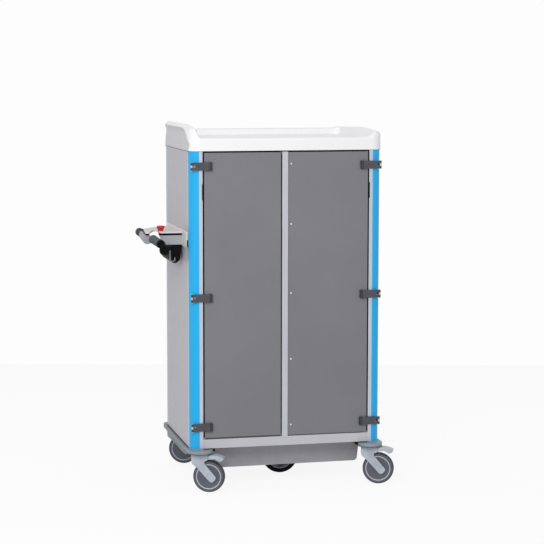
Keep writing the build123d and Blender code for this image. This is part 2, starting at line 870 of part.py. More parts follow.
arm_length = hypot(drive_x - drive_pivot_x, drive_pivot_z - drive_radius)
arm_angle = degrees(atan2(drive_radius - drive_pivot_z, drive_x - drive_pivot_x))
arm = None
arm_front = middle_y - arm_outer
arm_back = middle_y + arm_outer
for side in (-1, 1):
    near, far = sorted((middle_y + side * arm_inner, middle_y + side * arm_outer))
    plate = crosswise(drive_pivot_x, drive_pivot_z, near, far, 13)
    plate += crosswise(drive_x, drive_radius, near, far, 13)
    link = Pos(arm_length / 2, 0, 0) * Box(arm_length, far - near, 20)
    plate += Pos(drive_pivot_x, (near + far) / 2, drive_pivot_z) * Rot(0, -arm_angle, 0) * link
    plate += block(seat_start, seat_end, near, far, drive_pivot_z - 14, spring_seat - 2)
    arm = plate if arm is None else arm + plate
arm += crosswise(drive_pivot_x, drive_pivot_z, arm_front, arm_back, 11)
arm += block(seat_start, seat_end, arm_front, arm_back, seat_bottom, spring_seat)
arm -= crosswise(
    drive_pivot_x, drive_pivot_z, arm_front - 1, arm_back + 1, drive_axle_radius + running_clearance
)
arm -= crosswise(drive_x, drive_radius, arm_front - 1, arm_back + 1, drive_axle_radius + press_clearance)
nodes["drive_arm"] = arm
nodes["drive_axle"] = crosswise(drive_x, drive_radius, arm_front, arm_back, drive_axle_radius)

drive_half = drive_width / 2
drive_rim_radius = drive_radius - drive_tyre_thickness
drive_rim_inner = drive_rim_radius - 5
drive_hub = revolved(
    (
        (drive_axle_radius + running_clearance, -drive_half - 1.5),
        (drive_hub_radius, -drive_half - 1.5),
        (drive_hub_radius, drive_half + 1.5),
        (drive_axle_radius + running_clearance, drive_half + 1.5),
    ),
    0,
    0,
)
drive_rim = revolved(
    (
        (drive_rim_inner, -drive_half + 1),
        (drive_rim_radius - press_clearance, -drive_half + 1),
        (drive_rim_radius - press_clearance, drive_half - 1),
        (drive_rim_inner, drive_half - 1),
    ),
    0,
    0,
)
drive_wheel = drive_hub + drive_rim
spoke_start = drive_hub_radius - 2
spoke_end = drive_rim_inner + 1
spoke = Pos((spoke_start + spoke_end) / 2, 0, 0) * Box(spoke_end - spoke_start, drive_width - 10, 7)
for step in range(6):
    drive_wheel += Rot(0, 60 * step + 30, 0) * spoke
nodes["drive_wheel"] = Pos(drive_x, middle_y, drive_radius) * drive_wheel
drive_tyre = revolved(
    (
        (drive_rim_radius, -drive_half),
        (drive_radius - 5, -drive_half),
        (drive_radius, -drive_half + 5),
        (drive_radius, drive_half - 5),
        (drive_radius - 5, drive_half),
        (drive_rim_radius, drive_half),
    ),
    0,
    0,
)
nodes["drive_tyre"] = Pos(drive_x, middle_y, drive_radius) * drive_tyre

# The compression spring on the arm's seat is a plain sleeve of the coil's size
spring = upright(spring_x, middle_y, spring_seat, bracket_bottom, spring_radius)
spring -= upright(spring_x, middle_y, spring_seat - 1, body_bottom, spring_radius - spring_wire)
nodes["drive_spring"] = spring


# Handle unit: a console on the left side with a bar, grips, controls and a box under it

wing_tip = cover_front + 2
flange_plate_centre = console_top - 15


def console_plan(inset):
    """The console from above: wide at its front, narrow behind."""
    outline = (
        (-1, console_front),
        (console_outer + 10, console_front),
        (console_outer, console_front + 10),
        (console_outer, console_front + 46),
        (console_outer + 30, console_front + 86),
        (-32, console_front + 112),
        (-32, console_back),
        (-1, console_back),
    )
    face = make_face(Polyline(*outline, close=True))
    return offset(face, -inset, kind=Kind.INTERSECTION) if inset else face


def console_form(inset, z_top):
    """The console's body: its outer side leans in towards the bottom."""
    outer = console_outer + inset
    under = console_bottom + inset
    outline = (
        (0, z_top),
        (outer, z_top),
        (outer, console_top - 7),
        (console_outer + 18 + inset, under + 3),
        (console_outer + 23 + inset, under),
        (0, under),
    )
    form = side_profile(outline, console_front - 1, console_back + 1)
    return form & (Pos(0, 0, console_bottom - 10) * extrude(console_plan(inset), console_height + 40))


console = console_form(0, console_top) - console_form(console_wall, console_top + 5)
flange_face = RectangleRounded(body_depth - 2 * flange_plate_end, flange_plate_height, 8)
console += Pos(-flange_plate, middle_y, flange_plate_centre) * (Plane.YZ * extrude(flange_face, flange_plate))
nodes["handle_console"] = console

bar_middle = (bar_outer + bar_inner) / 2


def bar_form(growth):
    """The crossbar, made thicker by growth all round."""
    width = bar_inner - bar_outer + 2 * growth
    face = RectangleRounded(width, bar_height + 2 * growth, bar_rounding + growth)
    run = bar_back - bar_front + 2 * growth
    return Pos(bar_middle, bar_back + growth, bar_top - bar_height / 2) * Rot(90, 0, 0) * extrude(face, run)


# The cover closes the console and reaches out over the bar, round a notch for the hand
cover_inner = -flange_plate - fit_gap
cover_outline = (
    (cover_inner, cover_front),
    (console_outer + 4, cover_front),
    (console_outer - 2, cover_front + 6),
    (console_outer - 2, cover_front + 91),
    (console_outer - 14, cover_front + 94),
    (bar_inner - 9, wing_tip + 2),
    (bar_inner - 16, wing_tip - 2),
    (cover_wing + 4, wing_tip),
    (cover_wing, wing_tip + 6),
    (cover_wing, cover_front + 184),
    (cover_wing + 10, cover_front + 196),
    (console_outer - 6, cover_front + 204),
    (-40, cover_front + 250),
    (-34, console_back),
    (cover_inner, console_back),
)
cover_face = make_face(Polyline(*cover_outline, close=True))
cover = Pos(0, 0, cover_bottom) * extrude(cover_face, cover_thickness)
plinth = extrude(console_plan(2), cover_seal + 1) & block(console_outer, cover_inner, console_front, console_back, 0, 9)
cover += Pos(0, 0, console_top) * plinth
saddle = block(bar_middle - 9, bar_middle + 9, bar_front + 15, bar_back - 60, bar_top - 6, cover_bottom + 1)
cover += saddle - bar_form(press_clearance)
cover -= upright(button_x, button_y, console_top - 1, cover_top + 1, button_stem_radius + running_clearance)
nodes["console_cover"] = cover


def rod_between(start, end, radius, from_start=0, past_end=0):
    """A cylinder from one point towards another."""
    along = Vector(*end) - Vector(*start)
    length = along.length + past_end - from_start
    return Plane(origin=start, z_dir=along) * (Pos(0, 0, from_start + length / 2) * Cylinder(radius, length))


stub = rod_between(stub_start, grip_root, stub_radius) + Pos(*grip_root) * Sphere(stub_radius)
stub += rod_between(grip_root, grip_end, stub_radius, past_end=-8)
nodes["handle_bar"] = bar_form(0) + stub + mirror_y(stub)

grip_length = (Vector(*grip_end) - Vector(*grip_root)).length
grip_collar = grip_radius + 1.5
grip = rod_between(grip_root, grip_end, grip_radius, from_start=2)
grip += rod_between(grip_root, grip_end, grip_collar, from_start=2, past_end=10 - grip_length)
grip += rod_between(grip_root, grip_end, grip_collar, from_start=grip_length - 8)
grip -= rod_between(grip_root, grip_end, stub_radius + press_clearance, past_end=-7.9)
nodes["handle_grips"] = group([grip, mirror_y(grip)])

# The stop button's collar stays clear of the cover when it is pressed
collar_bottom = cover_top + button_travel + 0.6
collar_top = collar_bottom + 7.4
button = upright(button_x, button_y, console_top + 0.5, collar_top, button_stem_radius)
button += upright(button_x, button_y, collar_bottom, collar_top, button_head_radius - 2)
button += upright(button_x, button_y, collar_top - 3, collar_top + 8, button_head_radius)
nodes["stop_button"] = button

housing_bottom = console_bottom - housing_height
housing_outline = (
    (-6, console_bottom),
    (-8, console_bottom - 25),
    (-20, housing_bottom + 13),
    (-30, housing_bottom),
    (-52, housing_bottom),
    (-64, housing_bottom + 13),
    (-64, console_bottom),
)
housing = side_profile(housing_outline, console_front, housing_back)
low_edges = housing.edges().filter_by(Axis.Y).sort_by(Axis.Z)[:4]
housing = fillet(low_edges, 5)
# A lug at the front carries the hand lever
lug = block(lever_x - 8, lever_x + 18, lug_front, console_front + 2, lever_z - 9, console_bottom - 1)
lug -= crosswise(lever_x, lever_z, lug_front - 1, lug_front + 17, lever_pin_radius + running_clearance)
housing += lug
nodes["control_housing"] = housing

hook_width = 12
hook_outer = lever_x + 18 + fit_gap
hook_low = housing_bottom + 5
hook_outline = (
    (0, housing_bottom + 66),
    (0, hook_low + 8),
    (6, hook_low + 1),
    (16, hook_low),
    (23, hook_low + 6),
    (23, hook_low + 19),
    (19, hook_low + 19),
    (18, hook_low + 8),
    (14, hook_low + 4.5),
    (8, hook_low + 5.5),
    (5, hook_low + 10),
    (5, housing_bottom + 66),
)
nodes["cable_hook"] = side_profile(
    [(hook_outer + x, z) for x, z in hook_outline], console_front - hook_width, console_front
)

lever_outline = (
    (-10, 9),
    (4, 9),
    (8, 0),
    (7, -19),
    (2, -33),
    (-8, -36),
    (-19, -30),
    (-28, -19),
    (-30, -6),
    (-21, 4),
)
lever = side_profile([(lever_x + x, lever_z + z) for x, z in lever_outline], lever_front, lug_front - fit_gap)
lever += crosswise(lever_x, lever_z, lug_front - 3, lug_front + 12, lever_pin_radius)
nodes["hand_lever"] = lever


# Move everything so that the origin is the bottom centre of the whole cart

def overall_box(shapes):
    """The lowest and highest corners of a box round all the shapes."""
    boxes = [shape.bounding_box() for shape in shapes]
    lowest = [min(getattr(box.min, axis) for box in boxes) for axis in "XYZ"]
    highest = [max(getattr(box.max, axis) for box in boxes) for axis in "XYZ"]
    return lowest, highest


lowest, highest = overall_box(nodes.values())
shift_x = -(lowest[0] + highest[0]) / 2
shift_y = -(lowest[1] + highest[1]) / 2
shift_z = -lowest[2]
print("overall", [round(b - a, 2) for a, b in zip(lowest, highest)])
print("shift", round(shift_x, 7), round(shift_y, 7), round(shift_z, 4))

for name, shape in nodes.items():
    export_step(Pos(shift_x, shift_y, shift_z) * shape, f"parts/{name}.step")
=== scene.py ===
import json
import math

import bmesh
import bpy
from mathutils import Matrix, Vector


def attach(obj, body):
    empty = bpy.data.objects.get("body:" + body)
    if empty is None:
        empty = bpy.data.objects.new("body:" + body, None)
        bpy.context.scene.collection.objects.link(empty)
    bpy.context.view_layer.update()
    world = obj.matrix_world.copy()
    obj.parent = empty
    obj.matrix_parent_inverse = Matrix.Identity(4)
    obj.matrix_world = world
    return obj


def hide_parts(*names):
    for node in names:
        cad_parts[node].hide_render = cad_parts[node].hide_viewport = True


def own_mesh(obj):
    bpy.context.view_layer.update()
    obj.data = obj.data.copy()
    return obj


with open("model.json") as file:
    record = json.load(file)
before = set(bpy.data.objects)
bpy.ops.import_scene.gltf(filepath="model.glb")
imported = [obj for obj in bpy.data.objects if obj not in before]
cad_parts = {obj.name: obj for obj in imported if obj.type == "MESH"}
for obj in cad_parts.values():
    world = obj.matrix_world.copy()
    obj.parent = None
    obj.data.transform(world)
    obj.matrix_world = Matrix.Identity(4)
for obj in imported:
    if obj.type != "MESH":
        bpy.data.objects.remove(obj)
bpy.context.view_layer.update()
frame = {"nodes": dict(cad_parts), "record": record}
node_body = {}
for body_name, members in frame["record"]["behaviour"]["bodies"].items():
    for member in members:
        node_body[member] = body_name

# The pieces are written in millimetres from the body's front left corner, as in the CAD source
SHIFT_X = -335.1418
SHIFT_Y = -281.2377
WIDTH = 770


def at(x, y, z):
    """A point in millimetres from the body's front left corner, as a point in the shared frame."""
    return Vector(((x + SHIFT_X) / 1000, (y + SHIFT_Y) / 1000, z / 1000))


def from_corner(point):
    """A point in the shared frame, in millimetres from the body's front left corner."""
    x, y, z = point * 1000
    return x - SHIFT_X, y - SHIFT_Y, z


def unit(value):
    return max(0.0, min(1.0, value))


def smooth(value, low, high):
    """0 below low, 1 above high, and a soft step between them."""
    t = unit((value - low) / (high - low))
    return t * t * (3 - 2 * t)


def blend(start, end, factor):
    return start + (end - start) * factor


def srgb(r, g, b):
    """A screen colour as a linear one."""
    linear = []
    for value in (r, g, b):
        value /= 255
        linear.append(value / 12.92 if value <= 0.04045 else ((value + 0.055) / 1.055) ** 2.4)
    return (*linear, 1.0)


# Materials

def shade(colour, factor):
    return (*(min(1.0, c * factor) for c in colour[:3]), 1.0)


def map_range(tree, source, start, end, low=0.0, high=1.0):
    """A value that goes from low to high while the source goes from start to end."""
    node = tree.nodes.new("ShaderNodeMapRange")
    node.inputs["From Min"].default_value = start
    node.inputs["From Max"].default_value = end
    node.inputs["To Min"].default_value = low
    node.inputs["To Max"].default_value = high
    tree.links.new(source, node.inputs["Value"])
    return node.outputs["Result"]


class Finish:
    """A node material, built up one layer at a time."""

    def __init__(self, name, colour, roughness, metallic=0.0, coat=0.0, specular=0.5):
        self.material = bpy.data.materials.new(name)
        self.material.use_nodes = True
        self.tree = self.material.node_tree
        self.shader = self.tree.nodes["Principled BSDF"]
        self.shader.inputs["Base Color"].default_value = colour
        self.shader.inputs["Roughness"].default_value = roughness
        self.shader.inputs["Metallic"].default_value = metallic
        self.shader.inputs["Coat Weight"].default_value = coat
        self.shader.inputs["Specular IOR Level"].default_value = specular
        self.colour = colour
        self.roughness = roughness
        self.colour_socket = None
        self.bump_socket = None
        self.coordinates = self.tree.nodes.new("ShaderNodeTexCoord").outputs["Object"]

    def new(self, kind, **settings):
        node = self.tree.nodes.new(kind)
        for key, value in settings.items():
            setattr(node, key, value)
        return node

    def link(self, source, target):
        self.tree.links.new(source, target)

    def texture(self, kind, scale, stretch, **settings):
        """A texture laid in the object's own coordinates, which are stretched along the axes."""
        mapping = self.new("ShaderNodeMapping")
        mapping.inputs["Scale"].default_value = stretch
        self.link(self.coordinates, mapping.inputs["Vector"])
        texture = self.new(kind, **settings)
        texture.inputs["Scale"].default_value = scale
        self.link(mapping.outputs["Vector"], texture.inputs["Vector"])
        return texture

    def noise(self, scale, stretch=(1, 1, 1), detail=4.0, rough=0.55):
        texture = self.texture("ShaderNodeTexNoise", scale, stretch)
        texture.inputs["Detail"].default_value = detail
        texture.inputs["Roughness"].default_value = rough
        return texture.outputs["Fac"]

    def cells(self, scale):
        texture = self.texture("ShaderNodeTexVoronoi", scale, (1, 1, 1), feature="SMOOTH_F1")
        texture.inputs["Smoothness"].default_value = 0.6
        return texture.outputs["Distance"]

    def ramp(self, factor, low, high, first=0.35, last=0.65):
        node = self.new("ShaderNodeValToRGB")
        node.color_ramp.elements[0].position = first
        node.color_ramp.elements[0].color = low
        node.color_ramp.elements[1].position = last
        node.color_ramp.elements[1].color = high
        self.link(factor, node.inputs["Fac"])
        return node.outputs["Color"]

    def mottle(self, factor, amount, first=0.35, last=0.65):
        """Lighter and darker places in the colour."""
        low = shade(self.colour, 1 - amount)
        high = shade(self.colour, 1 + amount)
        if self.colour_socket is None:
            self.colour_socket = self.ramp(factor, low, high, first, last)
        else:
            grey = (1 - amount, 1 - amount, 1 - amount, 1)
            mix = self.colour_mix(blend_type="MULTIPLY")
            mix.inputs["Factor"].default_value = 1.0
            self.link(self.ramp(factor, grey, (1, 1, 1, 1), first, last), mix.inputs["B"])
        return self

    def colour_mix(self, **settings):
        """A mix whose first colour is the colour so far. Its result is the new colour so far."""
        mix = self.new("ShaderNodeMix", data_type="RGBA", **settings)
        if self.colour_socket is None:
            mix.inputs["A"].default_value = self.colour
        else:
            self.link(self.colour_socket, mix.inputs["A"])
        self.colour_socket = mix.outputs["Result"]
        return mix

    def paint(self, mask, colour):
        """A second colour where the mask is 1."""
        mix = self.colour_mix()
        self.link(mask, mix.inputs["Factor"])
        mix.inputs["B"].default_value = colour
        return self

    def polish(self, factor, spread):
        """Shinier and duller places."""
        low = max(0.02, self.roughness - spread)
        high = min(1.0, self.roughness + spread)
        self.link(map_range(self.tree, factor, 0.3, 0.7, low, high), self.shader.inputs["Roughness"])
        return self

    def bump(self, height, strength, distance):
        """Relief from a height, distance metres deep, on top of the relief so far."""
        node = self.new("ShaderNodeBump")
        node.inputs["Strength"].default_value = strength
        node.inputs["Distance"].default_value = distance
        self.link(height, node.inputs["Height"])
        if self.bump_socket is not None:
            self.link(self.bump_socket, node.inputs["Normal"])
        self.bump_socket = node.outputs["Normal"]
        return self

    def done(self):
        if self.colour_socket is not None:
            self.link(self.colour_socket, self.shader.inputs["Base Color"])
        if self.bump_socket is not None:
            self.link(self.bump_socket, self.shader.inputs["Normal"])
        return self.material


def moulded(name, colour, roughness, grain, grain_depth, mottle, specular=0.5):
    """Moulded plastic: fine eroded grain and faint flow marks."""
    finish = Finish(name, colour, roughness, specular=specular)
    fine = finish.noise(grain, detail=3)
    wide = finish.noise(22, detail=3)
    finish.mottle(wide, mottle)
    finish.polish(finish.noise(140), 0.06)
    finish.bump(fine, grain_depth, 0.0004)
    return finish


def drawn_metal(name, colour, roughness, stretch, metallic=0.7, lines=0.10):
    """Extruded or rolled metal with fine lines along the way it was drawn."""
    finish = Finish(name, colour, roughness, metallic=metallic)
    brushed = finish.noise(60, stretch, detail=5, rough=0.65)
    finish.mottle(brushed, lines, 0.3, 0.7)
    finish.mottle(finish.noise(9), 0.05)
    finish.polish(brushed, 0.08)
    finish.bump(brushed, 0.10, 0.0003)
    return finish


# Which way the metal was drawn: the texture is stretched out along that axis
along_z = (9, 9, 0.08)
along_x = (0.08, 9, 9)

materials = {}

finish = Finish("strip_blue", srgb(20, 173, 232), 0.40, coat=0.08, specular=0.35)
flow = finish.noise(40, (6, 6, 0.05), detail=4)
finish.mottle(flow, 0.025, 0.3, 0.7).polish(finish.noise(90, (3, 3, 0.3)), 0.05)
finish.bump(flow, 0.06, 0.0004).bump(finish.noise(700), 0.05, 0.0002)
materials["strip_blue"] = finish.done()

materials["post_aluminium"] = drawn_metal("post_aluminium", srgb(192, 200, 211), 0.42, along_z).done()
materials["batten_aluminium"] = drawn_metal("batten_aluminium", srgb(195, 195, 202), 0.45, along_z).done()

finish = Finish("panel_grey", srgb(187, 186, 192), 0.5)
finish.mottle(finish.noise(5, detail=2), 0.015).mottle(finish.noise(260, detail=2), 0.03)
finish.polish(finish.noise(30), 0.05).bump(finish.cells(420), 0.10, 0.0005)
materials["panel_grey"] = finish.done()

finish = Finish("tray_white", srgb(242, 242, 243), 0.36, coat=0.05)
finish.mottle(finish.noise(7, detail=2), 0.006).polish(finish.noise(60), 0.05)
finish.bump(finish.noise(160, detail=2), 0.03, 0.0002).bump(finish.noise(1100), 0.03, 0.00015)
materials["tray_white"] = finish.done()

finish = drawn_metal("sheet_grey", srgb(194, 194, 200), 0.46, along_x, metallic=0.35, lines=0.04)
materials["sheet_grey"] = finish.done()

finish = Finish("door_grey", srgb(123, 123, 127), 0.62)
finish.mottle(finish.noise(3.2, detail=2), 0.035).mottle(finish.noise(520, detail=2), 0.09)
finish.polish(finish.noise(18), 0.05)
finish.bump(finish.cells(520), 0.22, 0.0006).bump(finish.noise(1500), 0.08, 0.0003)
materials["door_grey"] = finish.done()

# The chassis is darker along its lower rim. On its left rail behind the front casting it is painted
# darker: painted shade where the body shades that rail
finish = moulded("chassis_grey", srgb(140, 150, 160), 0.46, 500, 0.18, 0.07)
parts = finish.new("ShaderNodeSeparateXYZ")
finish.link(finish.coordinates, parts.inputs[0])
finish.paint(map_range(finish.tree, parts.outputs["Z"], 0.1590, 0.1555), srgb(86, 84, 84))
rail_inner, rail_outer = at(26, 0, 0).x, at(12, 0, 0).x
rail_start, rail_end = at(0, 30, 0).y, at(0, 110, 0).y
rail_painted_shade = finish.new("ShaderNodeMath", operation="MULTIPLY")
finish.link(map_range(finish.tree, parts.outputs["X"], rail_inner, rail_outer), rail_painted_shade.inputs[0])
finish.link(map_range(finish.tree, parts.outputs["Y"], rail_start, rail_end, 0.0, 0.75), rail_painted_shade.inputs[1])
finish.paint(rail_painted_shade.outputs["Value"], srgb(112, 116, 122))
materials["chassis_grey"] = finish.done()

finish = drawn_metal("steel", srgb(190, 190, 194), 0.3, (3, 3, 3), metallic=0.9, lines=0.08)
materials["steel"] = finish.done()

finish = moulded("caster_grey", srgb(182, 190, 200), 0.44, 420, 0.20, 0.12)
finish.mottle(finish.noise(120, (1, 1, 0.25), detail=4, rough=0.7), 0.08, 0.3, 0.7)
materials["caster_grey"] = finish.done()

# The plain moulded ones: colour, then what moulded() takes after it
PLAIN = {
    "pan_grey": ((168, 167, 172), 0.62, 420, 0.2, 0.04),
    "strap_grey": ((68, 68, 73), 0.5, 600, 0.3, 0.16),
    "strap_dark": ((42, 43, 47), 0.55, 600, 0.25, 0.10),
    "rubber_black": ((10, 10, 11), 0.78, 800, 0.2, 0.15, 0.12),
    "plastic_black": ((6, 6, 7), 0.62, 600, 0.15, 0.15, 0.12),
    "console_grey": ((169, 171, 177), 0.45, 700, 0.12, 0.03),
    "cover_grey": ((223, 218, 218), 0.5, 700, 0.12, 0.03),
    "rim_grey": ((150, 152, 158), 0.45, 700, 0.12, 0.06),
    "board_edge": ((16, 15, 15), 0.7, 700, 0.1, 0.08, 0.12),
    "bar_grey": ((156, 158, 163), 0.45, 700, 0.12, 0.04),
    "hook_grey": ((128, 129, 133), 0.45, 700, 0.12, 0.06),
    "rivet_bright": ((236, 236, 240), 0.35, 700, 0.06, 0.02),
    "button_red": ((206, 30, 32), 0.4, 900, 0.04, 0.04),
    "wheel_grey": ((86, 90, 101), 0.5, 600, 0.16, 0.08),
    "wheel_ring": ((200, 203, 209), 0.42, 600, 0.12, 0.05),
    "tyre_grey": ((88, 89, 98), 0.72, 500, 0.22, 0.10),
    "tyre_tread": ((64, 65, 72), 0.75, 500, 0.22, 0.12),
    "tyre_black": ((5, 5, 6), 0.78, 500, 0.22, 0.2, 0.12),
    "grip_dark": ((84, 88, 91), 0.66, 700, 0.25, 0.12, 0.3),
    # Darker grey for the tray's left side face: painted shade
    "tray_side": ((203, 203, 206), 0.45, 900, 0.06, 0.01),
}
for name, (colour, *settings) in PLAIN.items():
    materials[name] = moulded(name, srgb(*colour), *settings).done()


# Helpers for pieces

def finish_piece(piece, body, material, replaces=()):
    piece.data.materials.append(materials[material])
    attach(piece, body)
    if replaces:
        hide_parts(*replaces)
    return piece


def new_object(name, bm, sharp=38):
    bmesh.ops.recalc_face_normals(bm, faces=bm.faces)
    mesh = bpy.data.meshes.new(name)
    bm.to_mesh(mesh)
    bm.free()
    for polygon in mesh.polygons:
        polygon.use_smooth = True
    mesh.set_sharp_from_angle(angle=math.radians(sharp))
    piece = bpy.data.objects.new(name, mesh)
    bpy.context.scene.collection.objects.link(piece)
    return piece


def lofted(bm, rings, capped=True):
    """Faces between closed rings of points that have the same count."""
    rows = [[bm.verts.new(point) for point in ring] for ring in rings]
    count = len(rows[0])
    for low, high in zip(rows, rows[1:]):
        for i in range(count):
            j = (i + 1) % count
            bm.faces.new((low[i], low[j], high[j], high[i]))
    if capped:
        bm.faces.new(list(reversed(rows[0])))
        bm.faces.new(rows[-1])


def even_shading(piece):
    """Flat faces keep a flat shade beside rounded edges."""
    modifier = piece.modifiers.new("even_shading", "WEIGHTED_NORMAL")
    modifier.keep_sharp = True
    modifier.weight = 80


def turn(bm, profile, start, axis, segments=96, band=None, lobes=(0, 0.0)):
    """A closed profile of (way along the axis, radius) in millimetres, turned round the axis.

    A point on the axis becomes one vertex. Band gives a face's material index from its way and radius,
    and lobes are how many waves run round the widest part and how deep they are.
    """
    origin = at(*start)
    along = Vector(axis).normalized()
    across = along.orthogonal().normalized()
    upward = along.cross(across)
    widest = max(radius for _, radius in profile)
    rows = []
    for way, radius in profile:
        if radius < 0.001:
            rows.append([bm.verts.new(origin + along * way / 1000)])
            continue
        row = []
        for i in range(segments):
            a = math.tau * i / segments
            depth = lobes[1] * smooth(radius, widest * 0.6, widest)
            r = (radius - depth * (0.5 + 0.5 * math.cos(lobes[0] * a))) / 1000
            outward = across * math.cos(a) + upward * math.sin(a)
            row.append(bm.verts.new(origin + along * way / 1000 + outward * r))
        rows.append(row)
    pairs = list(zip(range(len(rows)), range(1, len(rows))))
    if len(rows[0]) > 1:
        pairs.append((len(rows) - 1, 0))
    for low, high in pairs:
        first, second = rows[low], rows[high]
        way = (profile[low][0] + profile[high][0]) / 2
        index = band(way, max(profile[low][1], profile[high][1])) if band else 0
        for i in range(segments):
            j = (i + 1) % segments
            if len(first) == 1 and len(second) == 1:
                break
            if len(first) == 1:
                face = bm.faces.new((first[0], second[j], second[i]))
            elif len(second) == 1:
                face = bm.faces.new((first[i], first[j], second[0]))
            else:
                face = bm.faces.new((first[i], first[j], second[j], second[i]))
            face.material_index = index


def both_sides(half):
    """The half of a profile at positive offsets, with its mirror image, as one closed loop."""
    return [*half, *((-way, radius) for way, radius in reversed(half))]


SOFT_ANGLE = math.radians(28)


def softened(node, material, radius, segments=3, shape=None):
    """A copy of a CAD node with its edges rounded by radius millimetres, which stands for the node.

    Shape moves a point of it first; it takes and gives millimetres from the body's front left corner.
    Edges that turn by less than SOFT_ANGLE stay as they are.
    """
    bm = bmesh.new()
    bm.from_mesh(frame["nodes"][node].data)
    bmesh.ops.remove_doubles(bm, verts=bm.verts, dist=2e-6)
    bmesh.ops.dissolve_limit(bm, angle_limit=math.radians(1.0), verts=bm.verts, edges=bm.edges)
    if shape is not None:
        for vertex in bm.verts:
            vertex.co = at(*shape(*from_corner(vertex.co)))
    edges = [e for e in bm.edges if e.is_manifold and e.calc_face_angle(0) > SOFT_ANGLE]
    bmesh.ops.bevel(
        bm, geom=edges, offset=radius / 1000, offset_type="OFFSET", segments=segments, profile=0.5,
        affect="EDGES", clamp_overlap=True, miter_outer="ARC",
    )
    bmesh.ops.remove_doubles(bm, verts=bm.verts, dist=1e-6)
    piece = new_object(node + ".soft", bm)
    even_shading(piece)
    finish_piece(piece, node_body[node], material, [node])
    return piece


record_slots = {entry["node"]: entry["material_slot"] for entry in frame["record"]["subparts"]}
for name, node in frame["nodes"].items():
    node.data.materials.clear()
    node.data.materials.append(materials[record_slots[name]])
frame["nodes"]["closing_batten"].data.materials[0] = materials["batten_aluminium"]
frame["nodes"]["right_door_fasteners"].data.materials[0] = materials["rivet_bright"]


# Tray on top: a moulded shell, with a high bolster at the left that falls away to the front

# Left, right, front and back of its outline, the radius of its corners, and where its points lie
TRAY = (-4, 774, -6, 570)
TRAY_CORNER = 44
TRAY_CORNER_STEPS = 14
TRAY_SIDE_STOPS = (0, 4, 9, 15, 24, 38, 60, 90, 125, 165)

# Levels above the ground
TRAY_BOTTOM = 1340
TRAY_FACE_START = TRAY_BOTTOM + 1
TRAY_UNDERSIDE = 1376.3
TRAY_FLOOR = 1380

# The top of the side face, the crest and the inner edge
FRONT_RIM = (1381, 1390, 1388)
BACK_RIM = (1397, 1407, 1405)

# How far up the side face its rings of points lie, from 0 to 1
FACE_STOPS = (0, 0.1, 0.22, 0.34, 0.42, 0.5, 0.58, 0.66, 0.74, 0.81, 0.87, 0.92, 0.96, 0.99)


def cove(z, face, left):
    """How far the left side face lies in from the edge above it: a little low down, more over the body."""
    t = unit((z - TRAY_FACE_START) / (face - TRAY_FACE_START))
    u = unit((z - 1378) / max(1.0, face - 1378))
    hollow = 0.6 + 1.6 * smooth(t, 0, 0.4) * (1 - smooth(t, 0.85, 1.0)) - 0.6 * smooth(t, 0.9, 1.0)
    return left * (hollow + 3.6 * smooth(face, 1380, 1430) * math.sin(math.pi * u ** 1.15))


def tray_outline():
    """Points round the tray with the way in from each, counter-clockwise from the front left."""
    x0, x1, y0, y1 = TRAY
    r = TRAY_CORNER
    points = []

    def side(start, end, inward):
        length = math.dist(start, end)
        stops = {*TRAY_SIDE_STOPS, *(length - stop for stop in TRAY_SIDE_STOPS)}
        stops |= {length / 2, length * 0.36, length * 0.64}
        for stop in sorted(stops):
            if 0 <= stop <= length:
                t = stop / length
                points.append(((blend(start[0], end[0], t), blend(start[1], end[1], t)), inward))

    def corner(cx, cy, first):
        for i in range(1, TRAY_CORNER_STEPS):
            a = math.radians(first + 90 * i / TRAY_CORNER_STEPS)
            points.append(((cx + r * math.cos(a), cy + r * math.sin(a)), (-math.cos(a), -math.sin(a))))

    side((x0 + r, y0), (x1 - r, y0), (0, 1))
    corner(x1 - r, y0 + r, 270)
    side((x1, y0 + r), (x1, y1 - r), (-1, 0))
    corner(x1 - r, y1 - r, 0)
    side((x1 - r, y1), (x0 + r, y1), (0, -1))
    corner(x0 + r, y1 - r, 90)
    side((x0, y1 - r), (x0, y0 + r), (1, 0))
    corner(x0 + r, y0 + r, 180)
    return points


def rim_heights(x, y):
    """How high the side face, the crest and the inner edge of the rim stand at a point of the outline.

    After these come how far the point belongs to the left and to the right rim, from 0 to 1.
    """
    x0, x1, y0, y1 = TRAY
    left = 1 - smooth(x, x0 + 14, x0 + 50)
    right = smooth(x, x1 - 66, x1 - 20)
    back = smooth(y, y1 - 70, y1 - 30)
    face, crest, inner = (blend(low, high, back) for low, high in zip(FRONT_RIM, BACK_RIM))
    # Right rim
    right_face = 1376 + 30 * math.sin(unit((y - y0) / 80) * math.pi / 2)
    right_crest = 1411 + 9 * smooth(y, 0, 250) - 8 * smooth(y, 260, 540)
    face = blend(face, right_face, right)
    crest = blend(crest, right_crest, right)
    inner = blend(inner, right_crest - 0.5, right)
    # Left bolster: its face rises in a curve from the front, and falls again at the rear corner
    left_crest = 1424 + 16 * smooth(y, -20, 100)
    reach = unit((y - 4) / 140)
    left_face = blend(1346, left_crest - 13, (1 - (1 - reach) ** 2) ** 0.55)
    rear_reach = unit((y1 + 20 - y) / 90)
    left_face = min(left_face, 1380 + 47 * math.sqrt(max(0.0, 1 - (1 - rear_reach) ** 2)))
    left_inner = 1421 + 9 * smooth(y, 10, 120)
    face = blend(face, left_face, left)
    crest = blend(crest, left_crest, left)
    inner = blend(inner, left_inner, left)
    return face, crest, max(inner, TRAY_FLOOR + 3), left, right


